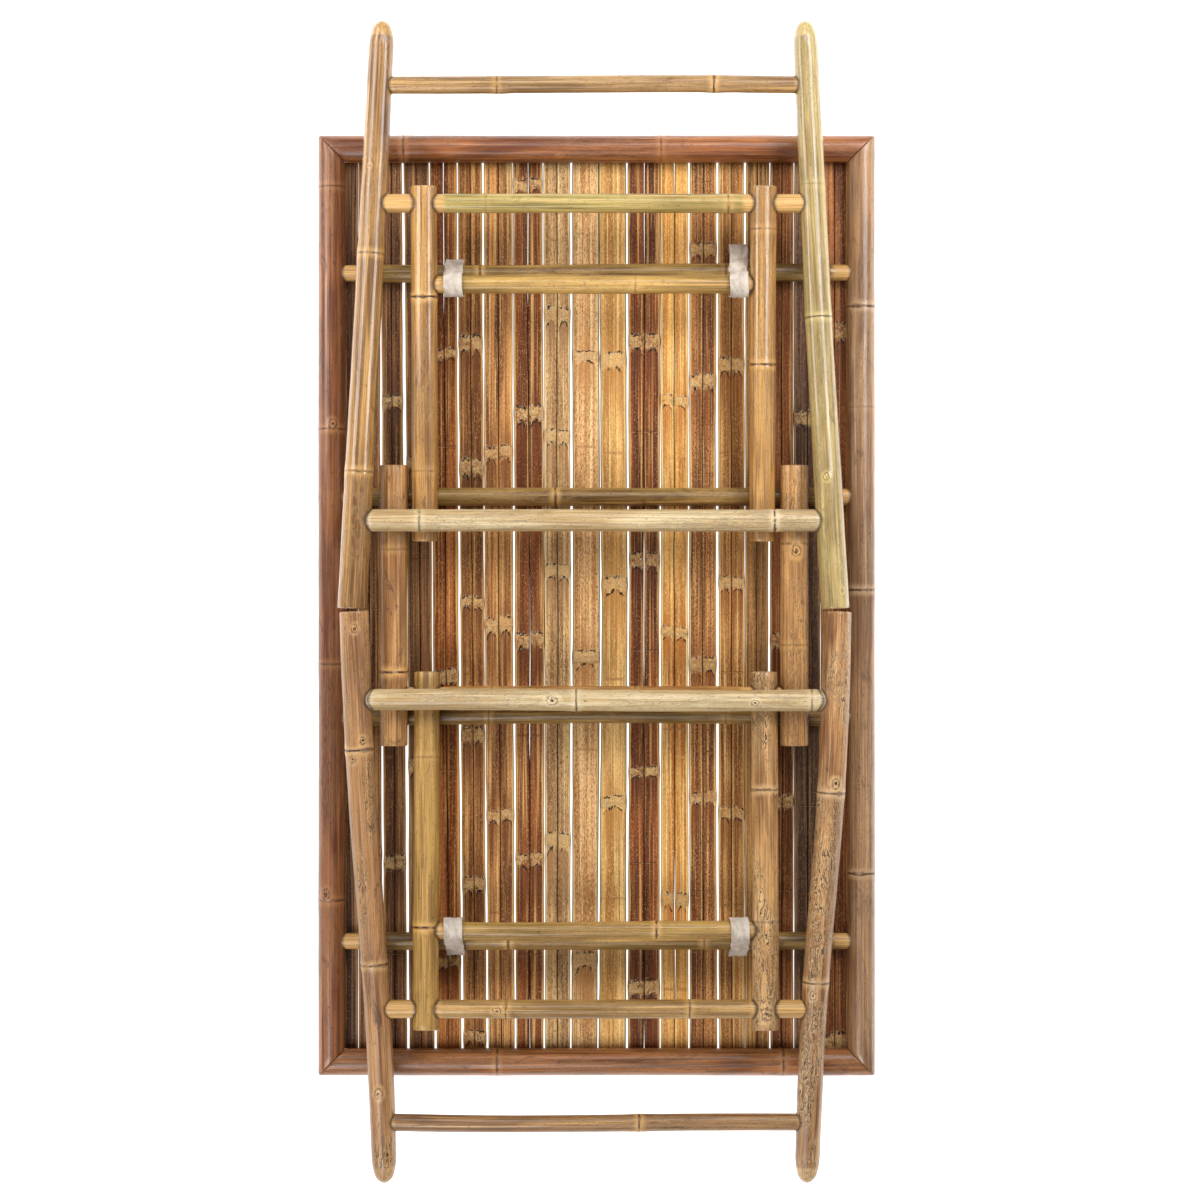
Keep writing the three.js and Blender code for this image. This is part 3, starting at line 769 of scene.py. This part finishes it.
# ---------------------------------------------------------------- slats
# From the -X side to the +X side: core, edge and dark fibre colours, speckle, and the nodes as shares of
# the length from the -Y end.
SLATS = [
    ("6e4a33", "a67c50", "3a231a", 0.4, [0.45]),
    ("8a5c38", "b98a55", "4d2d1b", 0.4, [0.22, 0.60]),
    ("7e5336", "bb8c54", "4a2c1a", 0.4, [0.211, 0.729]),
    ("875a38", "b68b58", "54361f", 0.4, [0.32, 0.66]),
    ("a35f2f", "d2a05c", "64300f", 0.4, [0.10, 0.420, 0.783]),
    ("a46c3a", "d2a05e", "5e3519", 0.5, [0.014, 0.186, 0.354, 0.503, 0.654, 0.794]),
    ("bf854c", "dfb676", "6b3c1e", 0.4, [0.264, 0.478, 0.672]),
    ("8c4d26", "dcae6c", "5a2c14", 0.3, [0.215, 0.462, 0.716, 0.974]),
    ("caa06a", "e2c68e", "8f6742", 0.6, [0.237, 0.541, 0.692, 0.829]),
    ("d4a36c", "e6c892", "a4713f", 0.6, [0.102, 0.442, 0.780]),
    ("dba964", "ecd08e", "a06d35", 0.3, [0.278, 0.523, 0.775]),
    ("874822", "d9a767", "4c2412", 0.4, [0.070, 0.313, 0.551, 0.797]),
    ("dca255", "efd28c", "a4652c", 0.3, [0.169, 0.470, 0.730]),
    ("b57842", "dfb577", "6b3a1c", 0.8, [0.285, 0.435, 0.753, 0.902]),
    ("bf8649", "e0b778", "7a481f", 0.4, [0.268, 0.527, 0.772]),
    ("996c3e", "c89a5c", "5c3c1e", 0.3, []),
    ("8a4f2b", "c39259", "592e14", 0.4, [0.280, 0.461]),
    ("65493a", "a5805a", "432e1f", 0.4, [0.38, 0.71]),
    ("9c5f38", "c8945a", "5a2d16", 0.4, [0.009, 0.55, 0.807]),
]
# The gap after each slat but the last: how wide it is, and how far towards +X it lies from the CAD gap, in
# mm, each at the -Y end, in the middle and at the +Y end.
GAPS = [
    ((0.4, 0.2, 0.8), (-1, -1, -1)), ((1.5, 3.6, 1.2), (-1, -3, -5)), ((2.6, 5.0, 2.4), (-2, -5, -9)),
    ((2.8, 1.2, 1.6), (-3, -7, -11)), ((2.6, 2.6, 1.6), (-3, -7, -10)), ((3.0, 0.6, 2.8), (-3, -7, -9)),
    ((2.0, 2.6, 0.3), (-4, -6, -8)), ((2.2, 0.1, 1.8), (-4, -4, -6)), ((1.8, 2.8, 2.8), (-3, -2, -3)),
    ((2.0, 2.0, -0.2), (-3, 1, -2)), ((2.6, 2.6, 2.2), (-2, 0, -2)), ((1.8, 2.0, -0.2), (-1, -1, -1)),
    ((1.6, 1.2, 1.8), (-1, -2, -1)), ((2.4, 3.2, 2.2), (0, -1, -1)), ((0.2, 0.2, 2.8), (0, 0, 0)),
    ((1.6, 2.8, 1.2), (0, -1, 0)), ((1.0, 0.4, 0.8), (0, 0, 0)), ((0.6, 0.4, 1.0), (1, 0, 0)),
]
RIM_CLOSE = 2.5 * MM  # the outermost slats reach this far past their CAD solids, under the rim
SPLIT_OPENS = {5, 8, 12, 13}  # slats whose split lets light through in places, counted from 1
UNSPLIT = {10, 11}  # slats made of one broad strip
NARROW = 20 * MM  # a slat narrower than this is one strip as well
SLAT_STEP = 9 * MM
# Across one strip: place from -1 to 1, how far it lies below the face in mm, and how shaded it is.
STRIP_PROFILE = [
    (-1, 2.4, 1.0), (-0.955, 1.0, 0.75), (-0.88, 0.2, 0.15), (-0.7, 0, 0), (-0.4, 0, 0), (0, 0, 0),
    (0.4, 0, 0), (0.7, 0, 0), (0.88, 0.2, 0.15), (0.955, 1.0, 0.75), (1, 2.4, 1.0),
]
STRIP_AROUND = len(STRIP_PROFILE) + 2  # points round a strip: its face, and two at the bottom
BAND_STEPS = MM * np.array([-14, -11, -9, -7.5, -6, -4, -2, 0, 2, 4, 6, 7.5, 9, 11, 14])


def boundary(index):
    """The X of the middle of the gap after slat number index, counted from 1."""
    return (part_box(f"slat_{index:02d}")[1].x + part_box(f"slat_{index + 1:02d}")[0].x) / 2


def slat_rows(length, places):
    """The places along a slat that get a row of points."""
    turns = [(a + b) / 2 for a, b in zip(places, places[1:])]
    y = np.concatenate([np.linspace(0, length, int(length / SLAT_STEP) + 1)]
                       + [p + BAND_STEPS for p in places] + [p + CHANGE_STEPS for p in turns])
    return np.unique(np.round(np.clip(y, 0, length), 5))


def nearest_band(rng, y, places):
    """For each row the distance from the nearest node in mm, and how long that node's band is."""
    node_mm, tall = np.full(len(y), FAR), np.ones(len(y))
    for place in places:
        d = (y - place) / MM
        closer = np.abs(d) < np.abs(node_mm)
        node_mm, tall = np.where(closer, d, node_mm), np.where(closer, rng.uniform(0.65, 1.25), tall)
    return node_mm, tall


def slat_edge(rng, y, length, node_mm, gap_number, limit, way):
    """One outer edge of a slat: half the gap away from the gap's middle, or a little under the rim."""
    if not 1 <= gap_number <= len(GAPS):
        return np.full(len(y), limit - way * RIM_CLOSE)
    widen = 0.6 * MM * np.exp(-(node_mm / 9) ** 2)
    gap, shift = [MM * np.interp(y, [0, length / 2, length], row) for row in GAPS[gap_number - 1]]
    return boundary(gap_number) + shift + way * (gap / 2 + 0.6 * MM * wave(rng, 7, 0.45)(y) - widen)


def make_slat(number, look, places_at):
    """One split slat: two strips with a crack between them, and a torn diaphragm at each node."""
    rng = np.random.default_rng(RNG_SEED + SLAT_SEED + number)
    name = f"slat_{number:02d}"
    low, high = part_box(name)
    length = high.y - low.y
    places = [share * length for share in places_at]
    y = slat_rows(length, places)
    node_mm, tall = nearest_band(rng, y, places)
    left = slat_edge(rng, y, length, node_mm, number - 1, low.x, 1)
    right = slat_edge(rng, y, length, node_mm, number, high.x, -1)
    split = (left + right) / 2 + 0.8 * MM * wave(rng, 5, 0.6)(y)
    crack = np.full(len(y), -0.05 * MM)
    if number in SPLIT_OPENS:
        crack = crack + MM * np.clip(1.6 * wave(rng, 3, 0.9)(y) - 0.3, 0, 0.5)
    if high.x - low.x < NARROW or number in UNSPLIT:
        strips = [(left, right, False, False)]
    else:
        strips = [(left, split - crack, False, True), (split + crack, right, True, False)]

    points, faces = [], []
    values = {"across": [], "node_mm": [], "split": [], "rim_mm": []}

    def add(point, across, node, shade, rim_mm):
        """Add one point and what the material reads there."""
        points.append(point)
        for key, value in zip(values, (across, node, shade, rim_mm)):
            values[key].append(value)

    for a, b, inner_left, inner_right in strips:
        slant, offset = rng.uniform(-0.18, 0.18), rng.uniform(-2, 2)
        base = len(points)
        for i, v in enumerate(y):
            centre, spread = (a[i] + b[i]) / 2, (b[i] - a[i]) / 2
            near = math.exp(-(node_mm[i] / 7.5) ** 2)
            for u, drop, dark in STRIP_PROFILE:
                hollow = 0.7 * (1 - u * u)
                ridge = near * (1.3 - 0.5 * u * u + 0.8 * rng.uniform(-1, 1))
                x = centre + u * spread
                to_left = FAR if inner_left else x - left[i]
                to_right = FAR if inner_right else right[i] - x
                node = (node_mm[i] + offset + slant * u * spread / MM) / tall[i]
                point = (x, low.y + v, high.z + MM * (ridge - hollow - drop))
                add(point, u, node, dark, min(to_left, to_right) / MM)
            for u in (0.97, -0.97):
                add((centre + u * spread, low.y + v, low.z), 0.9, FAR, 0.4, 0.0)
        rings = [range(base + i * STRIP_AROUND, base + (i + 1) * STRIP_AROUND) for i in range(len(y))]
        faces += skin(rings) + [tuple(reversed(rings[0])), tuple(rings[-1])]
    points = np.array(points)
    values["rim_mm"] = np.clip(values["rim_mm"], 0, FAR)
    values["grain"] = points[:, [0, 2, 1]] + rng.uniform(0, 60, 3)
    install(make_piece(name + "_strips", points, faces, values, look), name)


def make_slats():
    """Every slat, each with its own colours."""
    for number, (core, edge, dark, speckle, places) in enumerate(SLATS, start=1):
        look = slat_material(f"slat_{number:02d}_look", core, edge, dark, speckle)
        make_slat(number, look, places)


# ---------------------------------------------------------------- straps
STRAP_THICK = 1.5 * MM
STRAP_SLACK = 2.6 * MM
STRAP_ARC = 24  # places round each pole where the loop is worked out
STRAP_ROWS = 120  # rows of points along the loop
STRAP_COLUMNS = 15
STRAP_SHARE = 0.97  # of the CAD strap's width
# How far each loop bulges past its batten, and how crumpled it is, both in mm.
STRAPS = {
    "strap_rear_left": (1.0, 0.5),
    "strap_rear_right": (20.0, 1.8),
    "strap_front_left": (2.0, 0.6),
    "strap_front_right": (3.0, 1.2),
}


def strap_path(node, bulge):
    """The loop round the batten and the brace bar, as even steps of (y, z), and its length."""
    side = "rear" if "rear" in node else "front"
    out = 1 if side == "rear" else -1
    low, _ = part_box(node)
    wrapped = (f"batten_{side}_outer", f"brace_bar_{side}")
    (batten, rb), (bar, ra) = [(middle(name), AXES[name][2] + STRAP_SLACK) for name in wrapped]
    dy, dz = bar.y - batten.y, bar.z - batten.z
    along = math.atan2(dz, dy)
    lean = math.acos((rb - ra) / math.hypot(dy, dz))
    loop = []
    for c, r, a0, a1, full in ((bar, ra, along - lean, along + lean, 0.0),
                               (batten, rb, along + lean, along + 2 * math.pi - lean, bulge * MM)):
        for a in np.linspace(a0, a1, STRAP_ARC):
            reach = r + full * max(0.0, out * math.cos(a)) ** 2
            loop.append((c.y + reach * math.cos(a), max(c.z + reach * math.sin(a), low.z + STRAP_THICK)))
    closed = np.array(loop + loop[:1])
    run = np.concatenate([[0], np.cumsum(np.linalg.norm(np.diff(closed, axis=0), axis=1))])
    at = np.linspace(0, run[-1], STRAP_ROWS, endpoint=False)
    return at, np.stack([np.interp(at, run, closed[:, k]) for k in range(2)], axis=1), run[-1]


def make_straps():
    """The four cloth loops, crumpled, each tied to the brace that it holds down."""
    look = strap_material()
    for seed, (node, (bulge, crumple)) in enumerate(STRAPS.items()):
        rng = np.random.default_rng(RNG_SEED + STRAP_SEED + seed)
        low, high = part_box(node)
        at, path, run = strap_path(node, bulge)
        tangent = np.roll(path, -1, axis=0) - np.roll(path, 1, axis=0)
        tangent /= np.linalg.norm(tangent, axis=1)[:, None]
        normal = np.stack([tangent[:, 1], -tangent[:, 0]], axis=1)
        centre_x, half = (low.x + high.x) / 2, (high.x - low.x) / 2
        columns = np.linspace(-1, 1, STRAP_COLUMNS)
        ripple, ruck = wave(rng, 5, 0.05), wave(rng, 4, 0.03)
        drift = MM * (0.8 + crumple) * wave(rng, 3, 0.12)(at)
        points, grain = [], []
        for i in range(len(at)):
            for layer in (0.0, STRAP_THICK):
                for u in columns if layer else columns[::-1]:
                    fold = ripple(at[i] + 0.02 * u) + ruck(at[i] * 0.4 + 0.03 * u)
                    lift = layer + MM * (crumple * 0.5 * (fold + 1) + 0.4 * u * u)
                    p = path[i] + normal[i] * lift
                    x = centre_x + u * half * STRAP_SHARE + drift[i]
                    points.append((x, p[0], max(p[1], low.z + 0.3 * MM)))
                    grain.append((u * half, lift, at[i]))
        around = 2 * STRAP_COLUMNS
        rings = [range(i * around, (i + 1) * around) for i in range(STRAP_ROWS)]
        faces = skin(rings + rings[:1])
        piece = make_piece(node + "_band", points, faces, {"grain": np.array(grain)}, look)
        install(piece, node)
        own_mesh(piece)


# ---------------------------------------------------------------- stage, light and camera
FLOOR_SIZE = 30
FLOOR_DROP = 2 * MM  # how far the floor lies under the table
WORLD_LIGHT = 0.35
CAMERA_HEIGHT = 3.6  # above the rim's axis
FRAME_WIDTH = 1.5324  # what the square picture spans at the rim's axis
CAMERA_ASIDE = Vector((0.0045, 0.0070, 0.0))  # from the middle of the table


def area_light(name, place, target, size, power):
    """A soft box at place, turned towards target, that the camera doesn't see."""
    light = bpy.data.lights.new(name, "AREA")
    light.shape = "RECTANGLE"
    light.size, light.size_y = size
    light.energy = power
    lamp = bpy.data.objects.new(name, light)
    bpy.context.scene.collection.objects.link(lamp)
    lamp.location = place
    lamp.visible_camera = False
    way = Vector(target) - Vector(place)
    lamp.rotation_euler = way.to_track_quat("-Z", "Y").to_euler()


def make_stage():
    """The floor, the world and the lights."""
    g = Graph("studio_floor")
    g.bsdf.inputs["Base Color"].default_value = (0.9, 0.9, 0.9, 1)
    g.bsdf.inputs["Roughness"].default_value = 0.9
    g.bsdf.inputs["Emission Color"].default_value = (1, 1, 1, 1)
    g.bsdf.inputs["Emission Strength"].default_value = 0.9
    bpy.ops.mesh.primitive_plane_add(size=FLOOR_SIZE, location=(0, 0, -FLOOR_DROP))
    floor = bpy.context.object
    floor.name = "floor"
    floor.data.materials.append(g.material)

    world = bpy.data.worlds.new("studio")
    world.use_nodes = True
    world.node_tree.nodes["Background"].inputs[0].default_value = (1, 1, 1, 1)
    world.node_tree.nodes["Background"].inputs[1].default_value = WORLD_LIGHT
    bpy.context.scene.world = world

    # Two strip boxes stand beside the rear half and draw the twin highlights along its poles.
    area_light("strip_left", (-0.88, 0.85, 0.68), (0, 0.85, 0), (1.25, 0.40), 9.0)
    area_light("strip_right", (0.88, 0.85, 1.08), (0, 0.85, 0), (1.25, 0.48), 15.0)
    area_light("top_fill", (0.5, 2.0, 2.6), (0, 0, 0), (2.0, 1.0), 34)
    area_light("front_fill", (-0.9, -1.7, 2.2), (0, -0.4, 0), (1.8, 1.2), 44)


def make_camera():
    """The photo's view: straight down."""
    rim = middle("rim_left")
    camera = bpy.data.cameras.new("camera")
    camera.sensor_width = 36
    camera.lens = camera.sensor_width * CAMERA_HEIGHT / FRAME_WIDTH
    camera.clip_end = 50
    eye = bpy.data.objects.new("camera", camera)
    eye.location = Vector((0, rim.y, rim.z + CAMERA_HEIGHT)) + CAMERA_ASIDE
    bpy.context.scene.collection.objects.link(eye)
    bpy.context.scene.camera = eye


make_camera()
make_rim()
make_slats()
make_rails()
make_poles()
make_straps()
make_stage()
bpy.context.scene.view_settings.view_transform = "Standard"
